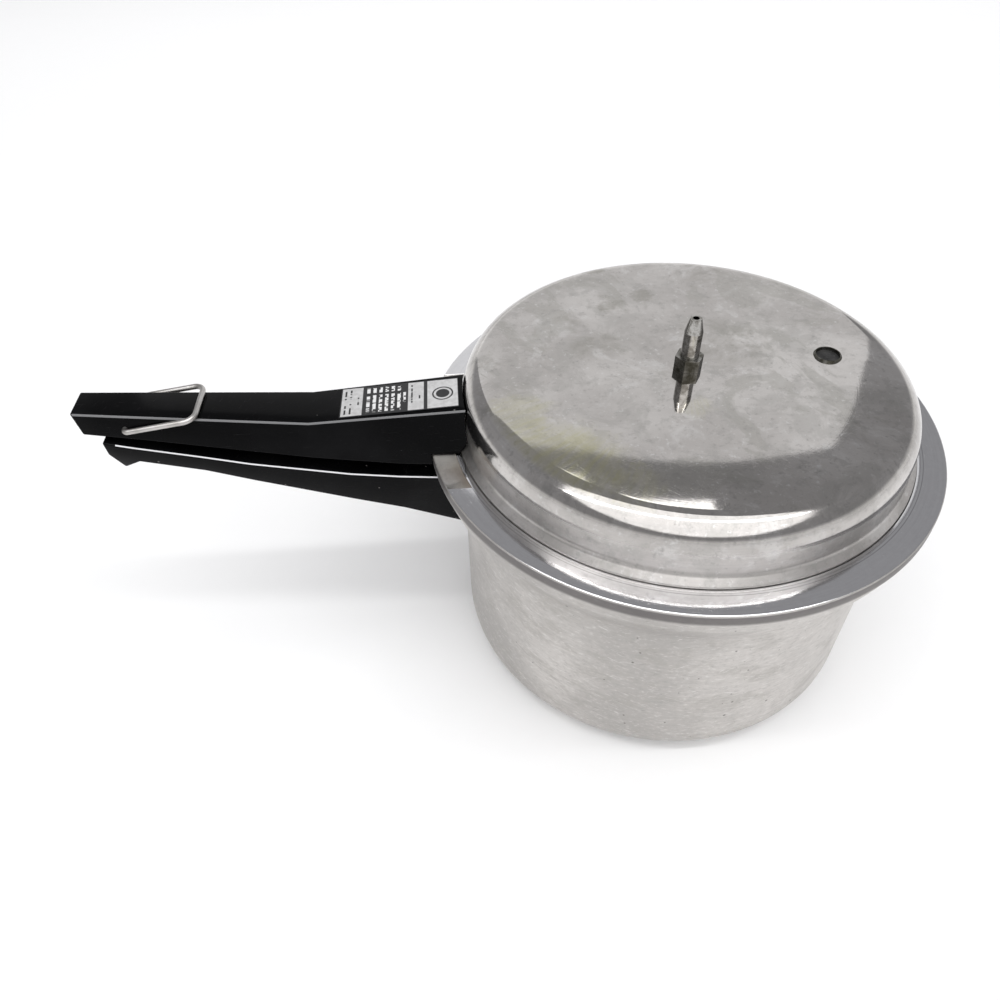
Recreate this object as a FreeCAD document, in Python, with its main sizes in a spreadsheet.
"""Stovetop pressure cooker, 4 US quarts: pan, bayonet cover, seal, rack, two moulded handles, hanging loop.

Millimetres. The origin is the centre of the pan's outside bottom, +Z is up and the handles point along -X.
"""
import FreeCAD, Part
import os
import Sketcher
from FreeCAD import Placement, Rotation, Vector

os.makedirs("parts", exist_ok=True)
doc = FreeCAD.newDocument("PressureCooker")

SIZES = {
    # pan: drawn wall, rounded floor corner, flare up to a cast collar with a bayonet mouth
    "pan_radius": 101.3,
    "pan_inside": 98.8,
    "pan_floor": 3.0,
    "pan_corner": 16.0,
    "pan_corner_inside": 13.5,
    "flare_foot": 96.0,
    "flare_radius": 113.6,
    "flare_top": 116.5,
    "flare_curve": 23.2,
    "collar_neck_radius": 114.6,
    "collar_bottom": 123.4,
    "collar_radius": 116.1,
    "collar_top": 129.9,
    "collar_edge": 0.9,
    "mouth_radius": 103.7,
    "mouth_lip": 126.0,
    "seat_radius": 104.5,
    "seat_height": 115.5,
    "pan_lug_inside": 101.5,
    "pan_lug_outside": 106.0,
    "pan_lug_half": 24.5,
    "pan_lug_bottom": 122.2,
    "pan_lug_height": 3.8,
    "lug_count": 6,
    "land_inside": 106.2,
    "land_outside": 118.0,
    "land_half": 40.6,
    "land_depth": 0.4,
    # cover: drum with a rounded shoulder, flange in the mouth, neck and lugs below it
    "cover_radius": 100.0,
    "cover_inside": 97.5,
    "cover_top": 157.7,
    "cover_ceiling": 155.2,
    "cover_shoulder": 12.0,
    "cover_shoulder_inside": 9.5,
    "cover_cove": 5.0,
    "cove_height": 134.2,
    "flange_radius": 103.3,
    "flange_top": 130.6,
    "flange_bottom": 126.3,
    "neck_radius": 101.1,
    "ring_bottom": 118.3,
    "skirt_radius": 99.3,
    "skirt_bottom": 116.0,
    "cover_lug_inside": 100.0,
    "cover_lug_half": 22.0,
    "cover_lug_height": 3.5,
    "seal_inside": 99.7,
    "seal_outside": 103.9,
    "seal_bottom": 115.8,
    "seal_top": 118.0,
    "seal_edge": 0.5,
    # vent pipe in the middle of the cover
    "vent_hole": 4.7,
    "vent_shank": 4.6,
    "vent_shank_bottom": 147.5,
    "vent_seat": 157.75,
    "vent_hex_corner": 6.35,
    "vent_hex_half": 3.175,
    "vent_hex_flat": 5.5,
    "vent_hex_height": 5.85,
    "vent_stem": 4.0,
    "vent_cone_foot": 175.7,
    "vent_tip_radius": 2.5,
    "vent_tip": 182.2,
    "vent_bore": 1.4,
    "vent_washer_radius": 8.0,
    "vent_washer_bottom": 153.5,
    "vent_washer_thick": 1.6,
    "vent_nut_corner": 8.66,
    "vent_nut_half": 4.33,
    "vent_nut_flat": 7.5,
    "vent_nut_bottom": 149.5,
    "vent_nut_height": 3.9,
    # rubber overpressure plug in its metal ring
    "plug_x": 63.6,
    "plug_y": 2.6,
    "plug_hole": 5.8,
    "ring_tube": 5.7,
    "ring_inside": 5.2,
    "ring_rim": 6.2,
    "ring_foot": 154.9,
    "ring_rim_bottom": 157.75,
    "ring_rim_top": 158.6,
    "plug_neck": 5.1,
    "plug_flange": 8.5,
    "plug_bottom": 151.6,
    "plug_flange_top": 154.7,
    "plug_top": 157.2,
    "plug_dish": 3.2,
    "plug_dish_floor": 156.3,
    # loose rack in the pan
    "rack_radius": 91.0,
    "rack_rim_inside": 89.8,
    "rack_rim_bottom": 10.0,
    "rack_under": 15.8,
    "rack_top": 17.0,
    "rack_foot_radius": 4.0,
    "rack_foot_at": 72.0,
    "rack_foot_bottom": 3.3,
    "rack_foot_height": 13.0,
    "rack_foot_count": 3,
    "rack_hole": 5.0,
    "rack_hole_ring_a": 26.0,
    "rack_hole_ring_b": 48.0,
    "rack_hole_ring_c": 80.0,
    "rack_holes_a": 6,
    "rack_holes_b": 12,
    "rack_holes_c": 24,
    "rack_hole_depth": 2.0,
    # brackets, rivets and screws
    "plate_half": 10.4,
    "cover_plate_inside": 100.05,
    "cover_plate_outside": 101.6,
    "cover_plate_bottom": 136.4,
    "cover_plate_height": 9.0,
    "cover_tongue_bottom": 136.9,
    "tongue_thick": 1.6,
    "tongue_half": 7.5,
    "cover_tongue_end": 128.0,
    "cover_tongue_root": 101.0,
    "cover_screw_at": 120.0,
    "pan_plate_inside": 101.35,
    "pan_plate_outside": 103.0,
    "pan_plate_bottom": 84.0,
    "pan_plate_height": 11.8,
    "pan_tongue_bottom": 94.2,
    "pan_tongue_end": 122.0,
    "pan_tongue_root": 102.4,
    "pan_screw_at": 113.5,
    "rivet_radius": 2.4,
    "rivet_hole": 2.5,
    "rivet_head": 3.6,
    "rivet_head_thick": 1.3,
    "rivet_half_pitch": 6.5,
    "cover_rivet_height": 142.4,
    "cover_rivet_out": 101.65,
    "cover_rivet_in": 96.9,
    "cover_rivet_grip": 4.75,
    "pan_rivet_height": 88.6,
    "pan_rivet_out": 103.05,
    "pan_rivet_in": 98.2,
    "pan_rivet_grip": 4.85,
    "screw_radius": 2.5,
    "screw_clear": 2.7,
    "screw_head": 4.6,
    "screw_head_height": 3.0,
    "screw_length": 7.6,
    "screw_slot": 1.0,
    "screw_slot_depth": 1.2,
    "washer_radius": 5.6,
    "washer_thick": 1.0,
    "insert_radius": 3.9,
    "insert_hole": 4.0,
    "insert_length": 5.0,
    "insert_gap": 0.3,
    "insert_hole_depth": 5.4,
    "boss_radius": 6.4,
    "boss_gap": 0.2,
    "cover_boss_height": 8.0,
    "pan_boss_height": 20.0,
    # moulded handles
    "handle_skin": 2.7,
    "handle_drop": 8.0,
    "handle_edge": 0.9,
    "pivot_at": 245.8,
    "pivot_height": 146.8,
    "pivot_hole": 1.32,
    "pivot_hole_length": 30.0,
    # printed plate on the cover handle
    "chart_at": 154.1,
    "chart_side": 10.3,
    "chart_length": 52.6,
    "chart_width": 20.6,
    "chart_thick": 0.4,
    "chart_height": 146.55,
    "chart_slope": 3.5,
    # wire hanging loop
    "wire_radius": 1.25,
    "loop_length": 31.2,
    "loop_half": 12.6,
    "loop_pin_end": 7.2,
    "loop_pin_bend": 1.8,
    "loop_corner": 5.0,
    "loop_rest": 8.6,
}

# Handle cross-sections from the tip to the pot: distance out, top height, top half width, bottom height,
# bottom half width.
COVER_SECTIONS = (
    (267.6, 154.5, 7.8, 145.4, 10.6),
    (238.0, 151.9, 8.9, 141.3, 12.3),
    (196.0, 148.2, 10.4, 134.4, 14.8),
    (167.4, 145.7, 11.4, 129.8, 16.5),
    (130.0, 147.98, 12.4, 126.2, 19.4),
    (90.0, 150.42, 13.6, 124.4, 21.7),
)
PAN_SECTIONS = (
    (257.5, 141.0, 12.0, 134.0, 11.2),
    (252.2, 139.8, 12.3, 125.7, 11.0),
    (245.0, 138.2, 12.8, 128.8, 11.6),
    (217.0, 132.5, 14.5, 122.6, 13.1),
    (196.0, 128.1, 16.0, 116.2, 14.6),
    (152.5, 120.6, 18.0, 102.9, 16.6),
    (130.2, 118.3, 19.0, 96.4, 17.5),
    (92.0, 115.9, 20.6, 82.0, 18.9),
)
# Where each handle's hollow starts, as one more section of the same outer shape.
COVER_HOLLOW = ((259.0, 153.74, 8.12, 144.2, 11.1),)
PAN_HOLLOW = ((241.0, 137.4, 13.0, 127.9, 11.8),)
SECTION_WORDS = ("out", "top", "tophalf", "foot", "foothalf")
# Outlines turned round the pot's axis that cut the handles' inner ends to the pot: radius, height.
COVER_FIT = (
    (80.0, 165.0),
    (97.4, 154.7),
    (99.7, 150.8),
    (100.6, 146.0),
    (100.6, 135.2),
    (104.0, 131.2),
    (104.0, 130.5),
    (116.7, 130.5),
    (116.7, 115.0),
    (80.0, 115.0),
)
PAN_FIT = (
    (80.0, 70.0),
    (102.0, 70.0),
    (102.0, 96.5),
    (103.4, 104.0),
    (106.8, 110.0),
    (111.4, 114.6),
    (114.4, 116.6),
    (115.2, 123.0),
    (116.8, 123.0),
    (116.8, 128.0),
    (80.0, 128.0),
)
FIT_WORDS = ("radius", "height")
# Slanting end under the cover handle's tip: distance out, height.
TIP_CUT = (
    (267.75, 154.8),
    (264.4, 144.8),
    (271.0, 143.0),
)
for family, sections, words in (
        ("coverhandle", COVER_SECTIONS, SECTION_WORDS), ("panhandle", PAN_SECTIONS, SECTION_WORDS),
        ("coverhollow", COVER_HOLLOW, SECTION_WORDS), ("panhollow", PAN_HOLLOW, SECTION_WORDS),
        ("coverfit", COVER_FIT, FIT_WORDS), ("panfit", PAN_FIT, FIT_WORDS), ("tipcut", TIP_CUT, FIT_WORDS)):
    for number, section in enumerate(sections, 1):
        for word, size in zip(words, section):
            SIZES["%s%d_%s" % (family, number, word)] = size

sheet = doc.addObject("Spreadsheet::Sheet", "Sizes")
for row, (alias, size) in enumerate(SIZES.items(), 1):
    sheet.set("A%d" % row, alias.replace("_", " "))
    sheet.set("B%d" % row, str(size))
    sheet.setAlias("B%d" % row, alias)
doc.recompute()


def amount(terms):
    """Value of a signed list of size names, such as 'cover_top -cover_shoulder'."""
    total = 0.0
    for term in terms.split():
        if term == "0":
            continue
        total += -SIZES[term[1:]] if term.startswith("-") else SIZES[term]
    return total


def formula(terms):
    """The same signed list as a FreeCAD expression on the sheet."""
    parts = []
    for term in terms.split():
        sign = "-" if term.startswith("-") else "+"
        parts.append("%s Sizes.%s" % (sign, term.lstrip("-")))
    text = " ".join(parts)
    return text[2:] if text.startswith("+ ") else text


def new_body(name):
    body = doc.addObject("PartDesign::Body", name)
    body.Label = name
    return body


def new_sketch(body, name, plane, offset=None):
    """Sketch on one of the body's own origin planes, moved along the plane's normal by a size."""
    sketch = body.newObject("Sketcher::SketchObject", name)
    origin_plane = [f for f in body.Origin.OriginFeatures if f.Role == plane][0]
    sketch.AttachmentSupport = [(origin_plane, "")]
    sketch.MapMode = "FlatFace"
    if offset:
        sketch.setExpression("AttachmentOffset.Base.z", formula(offset))
    return sketch


def fix_point(sketch, geo, pos, across, up, tag):
    """Ties one sketch point to its two sheet sizes."""
    for axis, kind, terms in ((-2, "DistanceX", across), (-1, "DistanceY", up)):
        if terms == "0":
            sketch.addConstraint(Sketcher.Constraint("PointOnObject", geo, pos, axis))
            continue
        index = sketch.addConstraint(Sketcher.Constraint(kind, -1, 1, geo, pos, amount(terms)))
        name = "%s_%s" % (tag, kind[-1].lower())
        sketch.renameConstraint(index, name)
        sketch.setExpression("Constraints." + name, formula(terms))


def outline(sketch, corners, closed=True):
    """Polyline through named corners; a third entry makes the next side an arc of that radius.

    A positive arc entry curves to the left of its direction of travel, a negative one to the right.
    """
    points = [Vector(amount(c[0]), amount(c[1]), 0) for c in corners]
    count = len(corners) if closed else len(corners) - 1
    geos = []
    for i in range(count):
        start = points[i]
        end = points[(i + 1) % len(points)]
        if len(corners[i]) == 2:
            geos.append((sketch.addGeometry(Part.LineSegment(start, end), False), 1, 2))
            continue
        bend = corners[i][2]
        radius = amount(bend.lstrip("-"))
        side = -1 if bend.startswith("-") else 1
        chord = end - start
        rise = (radius ** 2 - (chord.Length / 2) ** 2) ** 0.5
        left = Vector(-chord.y, chord.x, 0).normalize()
        centre = (start + end) * 0.5 + left * (rise * side)
        mid = centre + ((start + end) * 0.5 - centre).normalize() * radius
        curve = Part.Arc(start, mid, end)
        ends = (1, 2) if side > 0 else (2, 1)
        geo = sketch.addGeometry(curve, False)
        geos.append((geo,) + ends)
    for i, (geo, first, last) in enumerate(geos):
        fix_point(sketch, geo, first, corners[i][0], corners[i][1], "p%d" % i)
        if i + 1 < len(geos):
            following = geos[i + 1]
            sketch.addConstraint(Sketcher.Constraint("Coincident", geo, last, following[0], following[1]))
    if closed:
        final = geos[-1]
        sketch.addConstraint(Sketcher.Constraint("Coincident", final[0], final[2], geos[0][0], geos[0][1]))
    else:
        fix_point(sketch, geos[-1][0], geos[-1][2], corners[-1][0], corners[-1][1], "p%d" % count)
    for i, (geo, first, last) in enumerate(geos):
        if len(corners[i]) == 3:
            bend = corners[i][2].lstrip("-")
            index = sketch.addConstraint(Sketcher.Constraint("Radius", geo, amount(bend)))
            sketch.renameConstraint(index, "r%d" % i)
            sketch.setExpression("Constraints.r%d" % i, formula(bend))


def circle(sketch, radius, across="0", up="0"):
    centre = Vector(amount(across), amount(up), 0)
    geo = sketch.addGeometry(Part.Circle(centre, Vector(0, 0, 1), amount(radius)), False)
    index = sketch.addConstraint(Sketcher.Constraint("Radius", geo, amount(radius)))
    sketch.renameConstraint(index, "radius%d" % geo)
    sketch.setExpression("Constraints.radius%d" % geo, formula(radius))
    fix_point(sketch, geo, 3, across, up, "c%d" % geo)


def ring_sector(sketch, inside, outside, half, side=1):
    """Piece of a ring round the origin on +X (side 1) or -X (side -1), cut off square at +/- half."""
    reach = amount(half)
    arcs = []
    for number, radius in enumerate((inside, outside)):
        size = amount(radius)
        x = side * (size ** 2 - reach ** 2) ** 0.5
        arc = Part.Arc(Vector(x, -reach * side, 0), Vector(size * side, 0, 0), Vector(x, reach * side, 0))
        geo = sketch.addGeometry(arc, False)
        sketch.addConstraint(Sketcher.Constraint("Coincident", geo, 3, -1, 1))
        index = sketch.addConstraint(Sketcher.Constraint("Radius", geo, size))
        sketch.renameConstraint(index, "ring%d" % number)
        sketch.setExpression("Constraints.ring%d" % number, formula(radius))
        for pos, sign in ((1, -side), (2, side)):
            index = sketch.addConstraint(Sketcher.Constraint("DistanceY", -1, 1, geo, pos, sign * reach))
            name = "end%d%d" % (number, pos)
            sketch.renameConstraint(index, name)
            sketch.setExpression("Constraints." + name, formula(half if sign > 0 else "-" + half))
        arcs.append((geo, x))
    for pos, sign in ((1, -side), (2, side)):
        start = Vector(arcs[0][1], sign * reach, 0)
        end = Vector(arcs[1][1], sign * reach, 0)
        line = sketch.addGeometry(Part.LineSegment(start, end), False)
        sketch.addConstraint(Sketcher.Constraint("Coincident", line, 1, arcs[0][0], pos))
        sketch.addConstraint(Sketcher.Constraint("Coincident", line, 2, arcs[1][0], pos))


def spin(body, name, sketch, cut=False):
    kind = "PartDesign::Groove" if cut else "PartDesign::Revolution"
    feature = body.newObject(kind, name)
    feature.Profile = sketch
    feature.ReferenceAxis = (sketch, ["V_Axis"])
    feature.Angle = 360
    sketch.Visibility = False
    return feature


def pad(body, name, sketch, length, midplane=False, down=False):
    feature = body.newObject("PartDesign::Pad", name)
    feature.Profile = sketch
    feature.setExpression("Length", formula(length))
    feature.Reversed = down
    if midplane:
        feature.SideType = "Symmetric"
    sketch.Visibility = False
    return feature


def pocket(body, name, sketch, length, midplane=False, up=False):
    feature = body.newObject("PartDesign::Pocket", name)
    feature.Profile = sketch
    feature.setExpression("Length", formula(length))
    feature.Reversed = up
    if midplane:
        feature.SideType = "Symmetric"
    sketch.Visibility = False
    return feature


def ring_pattern(body, name, features, axis_sketch, count):
    feature = body.newObject("PartDesign::PolarPattern", name)
    feature.Originals = features
    feature.Axis = (axis_sketch, ["N_Axis"])
    feature.Angle = 360
    feature.setExpression("Occurrences", "Sizes." + count)
    body.Tip = feature
    return feature


def cylinder(name, radius, height, x="0", y="0", z="0", along=None):
    """Part cylinder bound to the sheet, with its foot at x, y, z and its axis up or along a direction."""
    item = doc.addObject("Part::Cylinder", name)
    item.setExpression("Radius", formula(radius))
    item.setExpression("Height", formula(height))
    if along:
        item.Placement = Placement(Vector(), Rotation(Vector(0, 0, 1), along))
    for word, terms in (("x", x), ("y", y), ("z", z)):
        if terms != "0":
            item.setExpression("Placement.Base." + word, formula(terms))
    return item


def boolean(kind, name, *items):
    """Part::Cut of two items, or Part::MultiFuse or Part::Compound of several."""
    item = doc.addObject(kind, name)
    if kind == "Part::Cut":
        item.Base = items[0]
        item.Tool = items[1]
    elif kind == "Part::MultiFuse":
        item.Shapes = list(items)
    else:
        item.Links = list(items)
    item.Label = name
    return item


nodes = []

# Pan: floor, wall and flare in one revolution, with the thick collar and its undercut mouth.
pan = new_body("pan_body")
pan_profile = new_sketch(pan, "PanProfile", "XZ_Plane")
outline(pan_profile, (
    ("0", "0"),
    ("pan_radius -pan_corner", "0", "pan_corner"),
    ("pan_radius", "pan_corner"),
    ("pan_radius", "flare_foot", "-flare_curve"),
    ("flare_radius", "flare_top"),
    ("collar_neck_radius", "collar_bottom"),
    ("collar_radius", "collar_bottom collar_edge"),
    ("collar_radius", "collar_top -collar_edge", "collar_edge"),
    ("collar_radius -collar_edge", "collar_top"),
    ("mouth_radius", "collar_top"),
    ("mouth_radius", "mouth_lip"),
    ("seat_radius", "mouth_lip"),
    ("seat_radius", "seat_height"),
    ("pan_inside", "seat_height"),
    ("pan_inside", "pan_floor pan_corner_inside", "-pan_corner_inside"),
    ("pan_inside -pan_corner_inside", "pan_floor"),
    ("0", "pan_floor"),
))
spin(pan, "PanTurned", pan_profile)
pan_lug = new_sketch(pan, "PanLugOutline", "XY_Plane", "pan_lug_bottom")
ring_sector(pan_lug, "pan_lug_inside", "pan_lug_outside", "pan_lug_half")
pan_lug_pad = pad(pan, "PanLug", pan_lug, "pan_lug_height")
ring_pattern(pan, "PanLugs", [pan_lug_pad], pan_lug, "lug_count")
land = new_sketch(pan, "HandleLandOutline", "XY_Plane", "collar_top")
ring_sector(land, "land_inside", "land_outside", "land_half", -1)
pocket(pan, "HandleLand", land, "land_depth")
pan_rivet_holes = new_sketch(pan, "PanRivetHoleCircles", "YZ_Plane", "-pan_radius -plate_half")
for sign in ("", "-"):
    circle(pan_rivet_holes, "rivet_hole", sign + "rivet_half_pitch", "pan_rivet_height")
pocket(pan, "PanRivetHoles", pan_rivet_holes, "plate_half plate_half", up=True)
nodes.append(pan)

# Cover: drum with a rounded shoulder; flange, neck, skirt and six lugs below it.
cover = new_body("cover_shell")
cover_profile = new_sketch(cover, "CoverProfile", "XZ_Plane")
outline(cover_profile, (
    ("0", "cover_ceiling"),
    ("cover_inside -cover_shoulder_inside", "cover_ceiling", "-cover_shoulder_inside"),
    ("cover_inside", "cover_ceiling -cover_shoulder_inside"),
    ("cover_inside", "skirt_bottom"),
    ("skirt_radius", "skirt_bottom"),
    ("skirt_radius", "ring_bottom"),
    ("neck_radius", "ring_bottom"),
    ("neck_radius", "flange_bottom"),
    ("flange_radius", "flange_bottom"),
    ("flange_radius", "flange_top", "-cover_cove"),
    ("cover_radius", "cove_height"),
    ("cover_radius", "cover_top -cover_shoulder", "cover_shoulder"),
    ("cover_radius -cover_shoulder", "cover_top"),
    ("0", "cover_top"),
))
spin(cover, "CoverTurned", cover_profile)
cover_lug = new_sketch(cover, "CoverLugOutline", "XY_Plane", "ring_bottom")
ring_sector(cover_lug, "cover_lug_inside", "flange_radius", "cover_lug_half")
cover_lug_pad = pad(cover, "CoverLug", cover_lug, "cover_lug_height")
ring_pattern(cover, "CoverLugs", [cover_lug_pad], cover_lug, "lug_count")
cover_holes = new_sketch(cover, "CoverHoleCircles", "XY_Plane", "cover_top")
circle(cover_holes, "vent_hole")
circle(cover_holes, "plug_hole", "plug_x", "plug_y")
pocket(cover, "CoverHoles", cover_holes, "vent_hex_height")
cover_rivet_holes = new_sketch(cover, "CoverRivetHoleCircles", "YZ_Plane", "-cover_radius -plate_half")
for sign in ("", "-"):
    circle(cover_rivet_holes, "rivet_hole", sign + "rivet_half_pitch", "cover_rivet_height")
pocket(cover, "CoverRivetHoles", cover_rivet_holes, "plate_half plate_half", up=True)
nodes.append(cover)

# Sealing ring: moulded rubber, lying on the pan's seat under the cover's lugs.
seal = new_body("sealing_ring")
seal_profile = new_sketch(seal, "SealProfile", "XZ_Plane")
outline(seal_profile, (
    ("seal_inside", "seal_bottom"),
    ("seal_outside -seal_edge", "seal_bottom"),
    ("seal_outside", "seal_bottom seal_edge"),
    ("seal_outside", "seal_top -seal_edge"),
    ("seal_outside -seal_edge", "seal_top"),
    ("seal_inside", "seal_top"),
))
spin(seal, "SealTurned", seal_profile)
nodes.append(seal)

# Vent pipe: turned stem and threaded shank with a hexagon between them and a small bore.
vent = new_body("vent_pipe")
vent_profile = new_sketch(vent, "VentProfile", "XZ_Plane")
outline(vent_profile, (
    ("0", "vent_shank_bottom"),
    ("vent_shank", "vent_shank_bottom"),
    ("vent_shank", "vent_seat"),
    ("vent_stem", "vent_seat"),
    ("vent_stem", "vent_cone_foot"),
    ("vent_tip_radius", "vent_tip"),
    ("0", "vent_tip"),
))
spin(vent, "VentTurned", vent_profile)


def hexagon(sketch, corner, half, flat):
    outline(sketch, (
        (corner, "0"),
        (half, flat),
        ("-" + half, flat),
        ("-" + corner, "0"),
        ("-" + half, "-" + flat),
        (half, "-" + flat),
    ))


vent_hex = new_sketch(vent, "VentHexagon", "XY_Plane", "vent_seat")
hexagon(vent_hex, "vent_hex_corner", "vent_hex_half", "vent_hex_flat")
pad(vent, "VentHexagonPad", vent_hex, "vent_hex_height")
vent_bore = new_sketch(vent, "VentBoreCircle", "XY_Plane", "vent_tip")
circle(vent_bore, "vent_bore")
pocket(vent, "VentBore", vent_bore, "vent_tip -vent_washer_thick")
nodes.append(vent)

# Washer and nut that hold the vent pipe from inside the cover.
vent_washer = boolean(
    "Part::Cut", "vent_pipe_washer",
    cylinder("VentWasherDisc", "vent_washer_radius", "vent_washer_thick", z="vent_washer_bottom"),
    cylinder("VentWasherHole", "vent_hole", "vent_nut_height", z="vent_washer_bottom -vent_washer_thick"))
nodes.append(vent_washer)
vent_nut = new_body("vent_pipe_nut")
vent_nut_hex = new_sketch(vent_nut, "VentNutHexagon", "XY_Plane", "vent_nut_bottom")
hexagon(vent_nut_hex, "vent_nut_corner", "vent_nut_half", "vent_nut_flat")
circle(vent_nut_hex, "vent_hole")
pad(vent_nut, "VentNutPad", vent_nut_hex, "vent_nut_height")
nodes.append(vent_nut)


def spun_at_plug(name, corners):
    """Revolved piece on the plug's axis, moved there by the body's placement."""
    body = new_body(name)
    profile = new_sketch(body, name.replace("_", " ").title().replace(" ", "") + "Profile", "XZ_Plane")
    outline(profile, corners)
    spin(body, name.replace("_", " ").title().replace(" ", "") + "Turned", profile)
    body.setExpression("Placement.Base.x", "Sizes.plug_x")
    body.setExpression("Placement.Base.y", "Sizes.plug_y")
    return body


# Metal ring pressed into the cover, and the rubber plug that blows out of it.
nodes.append(spun_at_plug("plug_ring", (
    ("ring_inside", "ring_foot"),
    ("ring_tube", "ring_foot"),
    ("ring_tube", "ring_rim_bottom"),
    ("ring_rim", "ring_rim_bottom"),
    ("ring_tube", "ring_rim_top"),
    ("ring_inside", "ring_rim_top"),
)))
nodes.append(spun_at_plug("overpressure_plug", (
    ("0", "plug_bottom"),
    ("plug_flange", "plug_bottom"),
    ("plug_flange", "plug_flange_top"),
    ("plug_neck", "plug_flange_top"),
    ("plug_neck", "plug_top"),
    ("plug_dish", "plug_top"),
    ("0", "plug_dish_floor"),
)))

# Rack: pressed aluminium tray with a turned-down rim, three feet and rings of steam holes.
rack = new_body("cooking_rack")
rack_profile = new_sketch(rack, "RackProfile", "XZ_Plane")
outline(rack_profile, (
    ("0", "rack_under"),
    ("rack_rim_inside", "rack_under"),
    ("rack_rim_inside", "rack_rim_bottom"),
    ("rack_radius", "rack_rim_bottom"),
    ("rack_radius", "rack_top"),
    ("0", "rack_top"),
))
spin(rack, "RackPressed", rack_profile)
rack_foot = new_sketch(rack, "RackFootCircle", "XY_Plane", "rack_foot_bottom")
circle(rack_foot, "rack_foot_radius", "rack_foot_at")
rack_foot_pad = pad(rack, "RackFoot", rack_foot, "rack_foot_height")
ring_pattern(rack, "RackFeet", [rack_foot_pad], rack_foot, "rack_foot_count")
for letter in "abc":
    ring = new_sketch(rack, "RackHoleCircle" + letter.upper(), "XY_Plane", "rack_top")
    circle(ring, "rack_hole", "rack_hole_ring_" + letter)
    hole = pocket(rack, "RackHole" + letter.upper(), ring, "rack_hole_depth")
    ring_pattern(rack, "RackHoles" + letter.upper(), [hole], ring, "rack_holes_" + letter)
nodes.append(rack)


def bracket(name, plate_inside, plate_outside, plate_bottom, plate_height, tongue_bottom, tongue_root,
            tongue_end, screw_at, rivet_height):
    """Pressed steel bracket: plate curved to the wall and a flat tongue drilled for the handle screw."""
    body = new_body(name)
    plate = new_sketch(body, "PlateOutline", "XY_Plane", plate_bottom)
    ring_sector(plate, plate_inside, plate_outside, "plate_half", -1)
    pad(body, "Plate", plate, plate_height)
    tongue = new_sketch(body, "TongueOutline", "XY_Plane", tongue_bottom)
    outline(tongue, (
        ("-" + tongue_root, "-tongue_half"),
        ("-" + tongue_root, "tongue_half"),
        ("-" + tongue_end, "tongue_half"),
        ("-" + tongue_end, "-tongue_half"),
    ))
    pad(body, "Tongue", tongue, "tongue_thick")
    screw_hole = new_sketch(body, "ScrewHoleCircle", "XY_Plane", tongue_bottom)
    circle(screw_hole, "screw_clear", "-" + screw_at)
    pocket(body, "ScrewHole", screw_hole, "tongue_thick", up=True)
    rivets = new_sketch(body, "RivetHoleCircles", "YZ_Plane", "-" + plate_outside)
    for sign in ("", "-"):
        circle(rivets, "rivet_hole", sign + "rivet_half_pitch", rivet_height)
    pocket(body, "RivetHoles", rivets, "rivet_half_pitch", up=True)
    return body


def rivet_pair(name, out_at, in_at, grip, height):
    """Two rivets through plate and wall: flat heads outside and inside, shank between."""
    rivets = []
    for letter, side in (("A", "rivet_half_pitch"), ("B", "-rivet_half_pitch")):
        tag = name.title().replace("_", "") + letter
        shank = cylinder(tag + "Shank", "rivet_radius", grip, "-" + out_at, side, height, Vector(1, 0, 0))
        outer = cylinder(tag + "Outer", "rivet_head", "rivet_head_thick",
                         "-" + out_at + " -rivet_head_thick", side, height, Vector(1, 0, 0))
        inner = cylinder(tag + "Inner", "rivet_head", "rivet_head_thick",
                         "-" + in_at, side, height, Vector(1, 0, 0))
        rivets.append(boolean("Part::MultiFuse", tag, shank, outer, inner))
    return boolean("Part::Compound", name, *rivets)


def screw(name, at, underside):
    """Pan-head screw pointing up, with a slot across its head."""
    head = cylinder(name + "_head", "screw_head", "screw_head_height", "-" + at, "0",
                    underside + " -screw_head_height")
    shank = cylinder(name + "_shank", "screw_radius", "screw_length", "-" + at, "0", underside)
    whole = boolean("Part::MultiFuse", name + "_blank", head, shank)
    slot = doc.addObject("Part::Box", name + "_slot")
    slot.setExpression("Length", "2 * Sizes.washer_radius")
    slot.setExpression("Width", "Sizes.screw_slot")
    slot.setExpression("Height", "Sizes.screw_slot_depth")
    slot.setExpression("Placement.Base.x", "-Sizes.%s - Sizes.washer_radius" % at)
    slot.setExpression("Placement.Base.y", "-Sizes.screw_slot / 2")
    slot.setExpression("Placement.Base.z", formula(underside + " -screw_head_height"))
    return boolean("Part::Cut", name, whole, slot)


def washer(name, radius, hole, height, at, bottom):
    disc = cylinder(name + "_disc", radius, height, "-" + at, "0", bottom)
    bore = cylinder(name + "_bore", hole, height, "-" + at, "0", bottom)
    return boolean("Part::Cut", name, disc, bore)


# Cover bracket with its rivets, screw, washer and threaded brass insert.
nodes.append(bracket("cover_bracket", "cover_plate_inside", "cover_plate_outside", "cover_plate_bottom",
                     "cover_plate_height", "cover_tongue_bottom", "cover_tongue_root", "cover_tongue_end",
                     "cover_screw_at", "cover_rivet_height"))
nodes.append(rivet_pair("cover_bracket_rivets", "cover_rivet_out", "cover_rivet_in", "cover_rivet_grip",
                        "cover_rivet_height"))
nodes.append(washer("cover_handle_washer", "washer_radius", "screw_clear", "washer_thick", "cover_screw_at",
                    "cover_tongue_bottom -washer_thick"))
nodes.append(screw("cover_handle_screw", "cover_screw_at", "cover_tongue_bottom -washer_thick"))
nodes.append(washer("cover_handle_insert", "insert_radius", "screw_clear", "insert_length",
                    "cover_screw_at", "cover_tongue_bottom tongue_thick insert_gap"))

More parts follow.
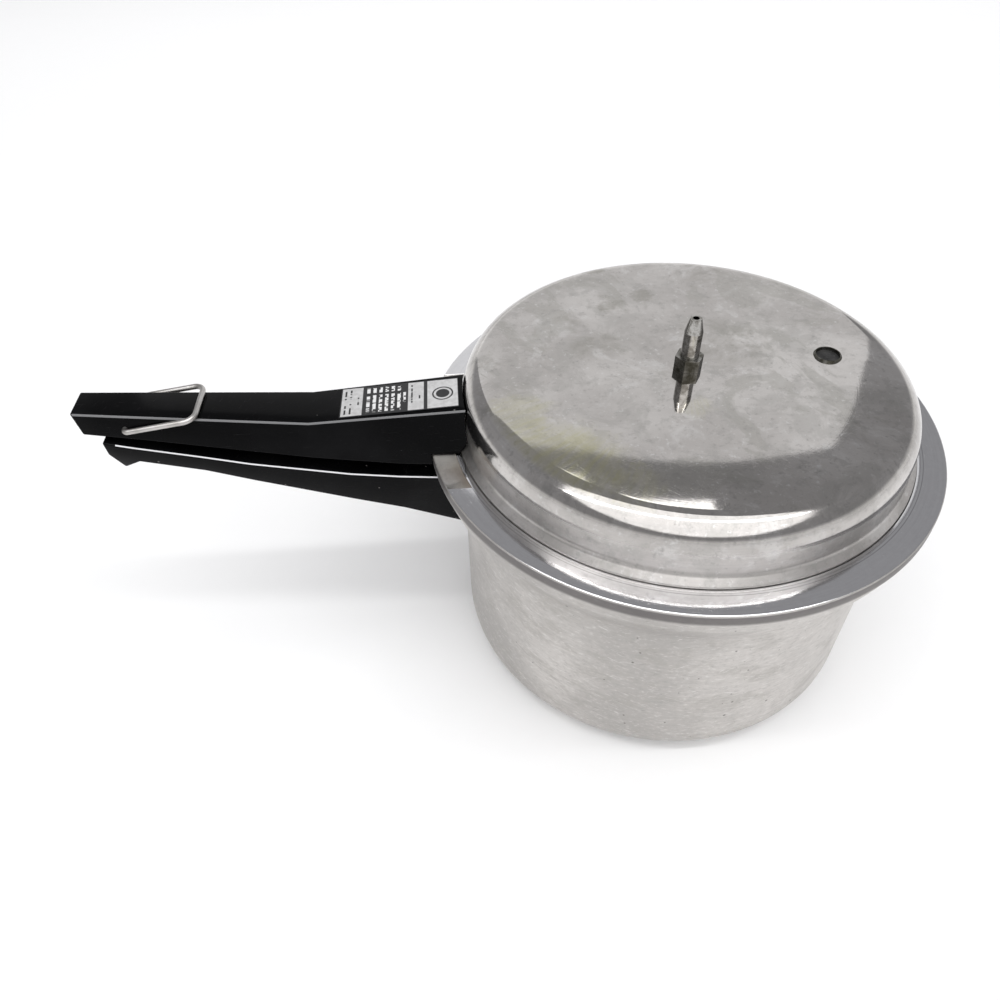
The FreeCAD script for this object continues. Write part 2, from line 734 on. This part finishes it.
# Pan bracket with the same fastenings under the pan handle.
nodes.append(bracket("pan_bracket", "pan_plate_inside", "pan_plate_outside", "pan_plate_bottom",
                     "pan_plate_height", "pan_tongue_bottom", "pan_tongue_root", "pan_tongue_end",
                     "pan_screw_at", "pan_rivet_height"))
nodes.append(rivet_pair("pan_bracket_rivets", "pan_rivet_out", "pan_rivet_in", "pan_rivet_grip",
                        "pan_rivet_height"))
nodes.append(washer("pan_handle_washer", "washer_radius", "screw_clear", "washer_thick", "pan_screw_at",
                    "pan_tongue_bottom -washer_thick"))
nodes.append(screw("pan_handle_screw", "pan_screw_at", "pan_tongue_bottom -washer_thick"))
nodes.append(washer("pan_handle_insert", "insert_radius", "screw_clear", "insert_length",
                    "pan_screw_at", "pan_tongue_bottom tongue_thick insert_gap"))


def section_sketch(body, name, out, top, top_half, foot, foot_half, edge="handle_edge"):
    """Cross-section of a handle: sloping sides and a roof with bevelled corners."""
    sketch = new_sketch(body, name, "YZ_Plane", "-" + out)
    outline(sketch, (
        ("-" + foot_half, foot),
        (foot_half, foot),
        (top_half, top + " -" + edge),
        (top_half + " -" + edge, top),
        ("-" + top_half + " " + edge, top),
        ("-" + top_half, top + " -" + edge),
    ))
    return sketch


def minus(terms):
    """The same signed list with every sign turned round."""
    return " ".join(term[1:] if term.startswith("-") else "-" + term for term in terms.split())


def hollow_sketch(body, name, out, top, top_half, foot, foot_half):
    sketch = new_sketch(body, name, "YZ_Plane", "-" + out)
    outline(sketch, (
        (minus(foot_half), foot),
        (foot_half, foot),
        (top_half, top),
        (minus(top_half), top),
    ))
    return sketch


def handle(name, family, count, hollow, foot_trim):
    """Moulded channel: sections joined straight, hollow from below."""
    body = new_body(name)
    sketches = []
    for number in range(1, count + 1):
        words = ["%s%d_%s" % (family, number, word) for word in SECTION_WORDS]
        sketches.append(section_sketch(body, "Section%d" % number, *words))
    loft = body.newObject("PartDesign::AdditiveLoft", "Moulding")
    loft.Profile = sketches[0]
    loft.Sections = sketches[1:]
    loft.Ruled = True
    hollows = []
    for number, prefix in enumerate([hollow + "1"] + ["%s%d" % (family, n) for n in range(3, count + 1)], 1):
        out, top, top_half, foot, foot_half = [prefix + "_" + word for word in SECTION_WORDS]
        hollows.append(hollow_sketch(
            body, "Hollow%d" % number, out, top + " -handle_skin", top_half + " -handle_skin",
            foot + " -handle_drop", foot_half + foot_trim))
    cavity = body.newObject("PartDesign::SubtractiveLoft", "Cavity")
    cavity.Profile = hollows[0]
    cavity.Sections = hollows[1:]
    cavity.Ruled = True
    for sketch in sketches + hollows:
        sketch.Visibility = False
    return body


def screw_boss(body, at, tongue_bottom, height):
    """Boss under the handle's roof with a hole for the threaded insert."""
    foot = tongue_bottom + " tongue_thick boss_gap"
    boss = new_sketch(body, "BossCircle", "XY_Plane", foot)
    circle(boss, "boss_radius", "-" + at)
    pad(body, "Boss", boss, height)
    hole = new_sketch(body, "InsertHoleCircle", "XY_Plane", foot)
    circle(hole, "insert_hole", "-" + at)
    pocket(body, "InsertHole", hole, "insert_hole_depth", up=True)


def end_fit(body, fit, count):
    """Cuts the handle's inner end to the round side of the pot."""
    profile = new_sketch(body, "EndFit", "XZ_Plane")
    outline(profile, [("%s%d_radius" % (fit, n), "%s%d_height" % (fit, n)) for n in range(1, count + 1)])
    spin(body, "EndFitGroove", profile, cut=True)


# Cover handle, hollow from below, with the loop's pivot hole through its sides near the tip.
cover_handle = handle("cover_handle", "coverhandle", len(COVER_SECTIONS), "coverhollow", "")
tip = new_sketch(cover_handle, "TipSlant", "XZ_Plane")
outline(tip, [("-tipcut%d_radius" % n, "tipcut%d_height" % n) for n in range(1, len(TIP_CUT) + 1)])
pocket(cover_handle, "TipSlantCut", tip, "pivot_hole_length", midplane=True)
pivot = new_sketch(cover_handle, "PivotHoleCircle", "XZ_Plane")
circle(pivot, "pivot_hole", "-pivot_at", "pivot_height")
pocket(cover_handle, "PivotHole", pivot, "pivot_hole_length", midplane=True)
screw_boss(cover_handle, "cover_screw_at", "cover_tongue_bottom", "cover_boss_height")
end_fit(cover_handle, "coverfit", len(COVER_FIT))
nodes.append(cover_handle)

# Pan handle below it, with a hooked tip.
pan_handle = handle("pan_handle", "panhandle", len(PAN_SECTIONS), "panhollow", " -handle_skin")
screw_boss(pan_handle, "pan_screw_at", "pan_tongue_bottom", "pan_boss_height")
end_fit(pan_handle, "panfit", len(PAN_FIT))
nodes.append(pan_handle)

# Printed metal plate lying on the cover handle's sloping top.
chart = doc.addObject("Part::Box", "cooking_chart_plate")
chart.Label = "cooking_chart_plate"
chart.Placement = Placement(Vector(), Rotation(Vector(0, 1, 0), -SIZES["chart_slope"]))
chart.setExpression("Length", "Sizes.chart_length")
chart.setExpression("Width", "Sizes.chart_width")
chart.setExpression("Height", "Sizes.chart_thick")
chart.setExpression("Placement.Base.x", "-Sizes.chart_at")
chart.setExpression("Placement.Base.y", "-Sizes.chart_side")
chart.setExpression("Placement.Base.z", "Sizes.chart_height")
nodes.append(chart)

# Hanging loop: one bent steel wire whose ends turn in to the pivot hole, drawn flat and tilted to rest.
loop = new_body("hanging_loop")
loop_path = new_sketch(loop, "LoopPath", "XY_Plane")
outline(loop_path, (
    ("0", "-loop_pin_end"),
    ("0", "-loop_half loop_pin_bend", "loop_pin_bend"),
    ("loop_pin_bend", "-loop_half"),
    ("loop_length -loop_corner", "-loop_half", "loop_corner"),
    ("loop_length", "-loop_half loop_corner"),
    ("loop_length", "loop_half -loop_corner", "loop_corner"),
    ("loop_length -loop_corner", "loop_half"),
    ("loop_pin_bend", "loop_half", "loop_pin_bend"),
    ("0", "loop_half -loop_pin_bend"),
    ("0", "loop_pin_end"),
), closed=False)
loop_section = new_sketch(loop, "LoopSection", "XZ_Plane", "loop_pin_end")
circle(loop_section, "wire_radius")
loop_pipe = loop.newObject("PartDesign::AdditivePipe", "LoopWire")
loop_pipe.Profile = loop_section
loop_pipe.Spine = loop_path
loop_path.Visibility = False
loop_section.Visibility = False
loop.Placement = Placement(Vector(), Rotation(Vector(0, 1, 0), -SIZES["loop_rest"]))
loop.setExpression("Placement.Base.x", "-Sizes.pivot_at")
loop.setExpression("Placement.Base.z", "Sizes.pivot_height")
nodes.append(loop)

doc.recompute()
problems = [o.Label for o in doc.Objects if "Invalid" in o.State or "Error" in o.State]
problems += [n.Label for n in nodes if n.Shape.isNull() or not n.Shape.isValid()]
if problems:
    raise RuntimeError("not built: " + ", ".join(problems))
for node in nodes:
    node.Shape.exportStep("parts/%s.step" % node.Label)
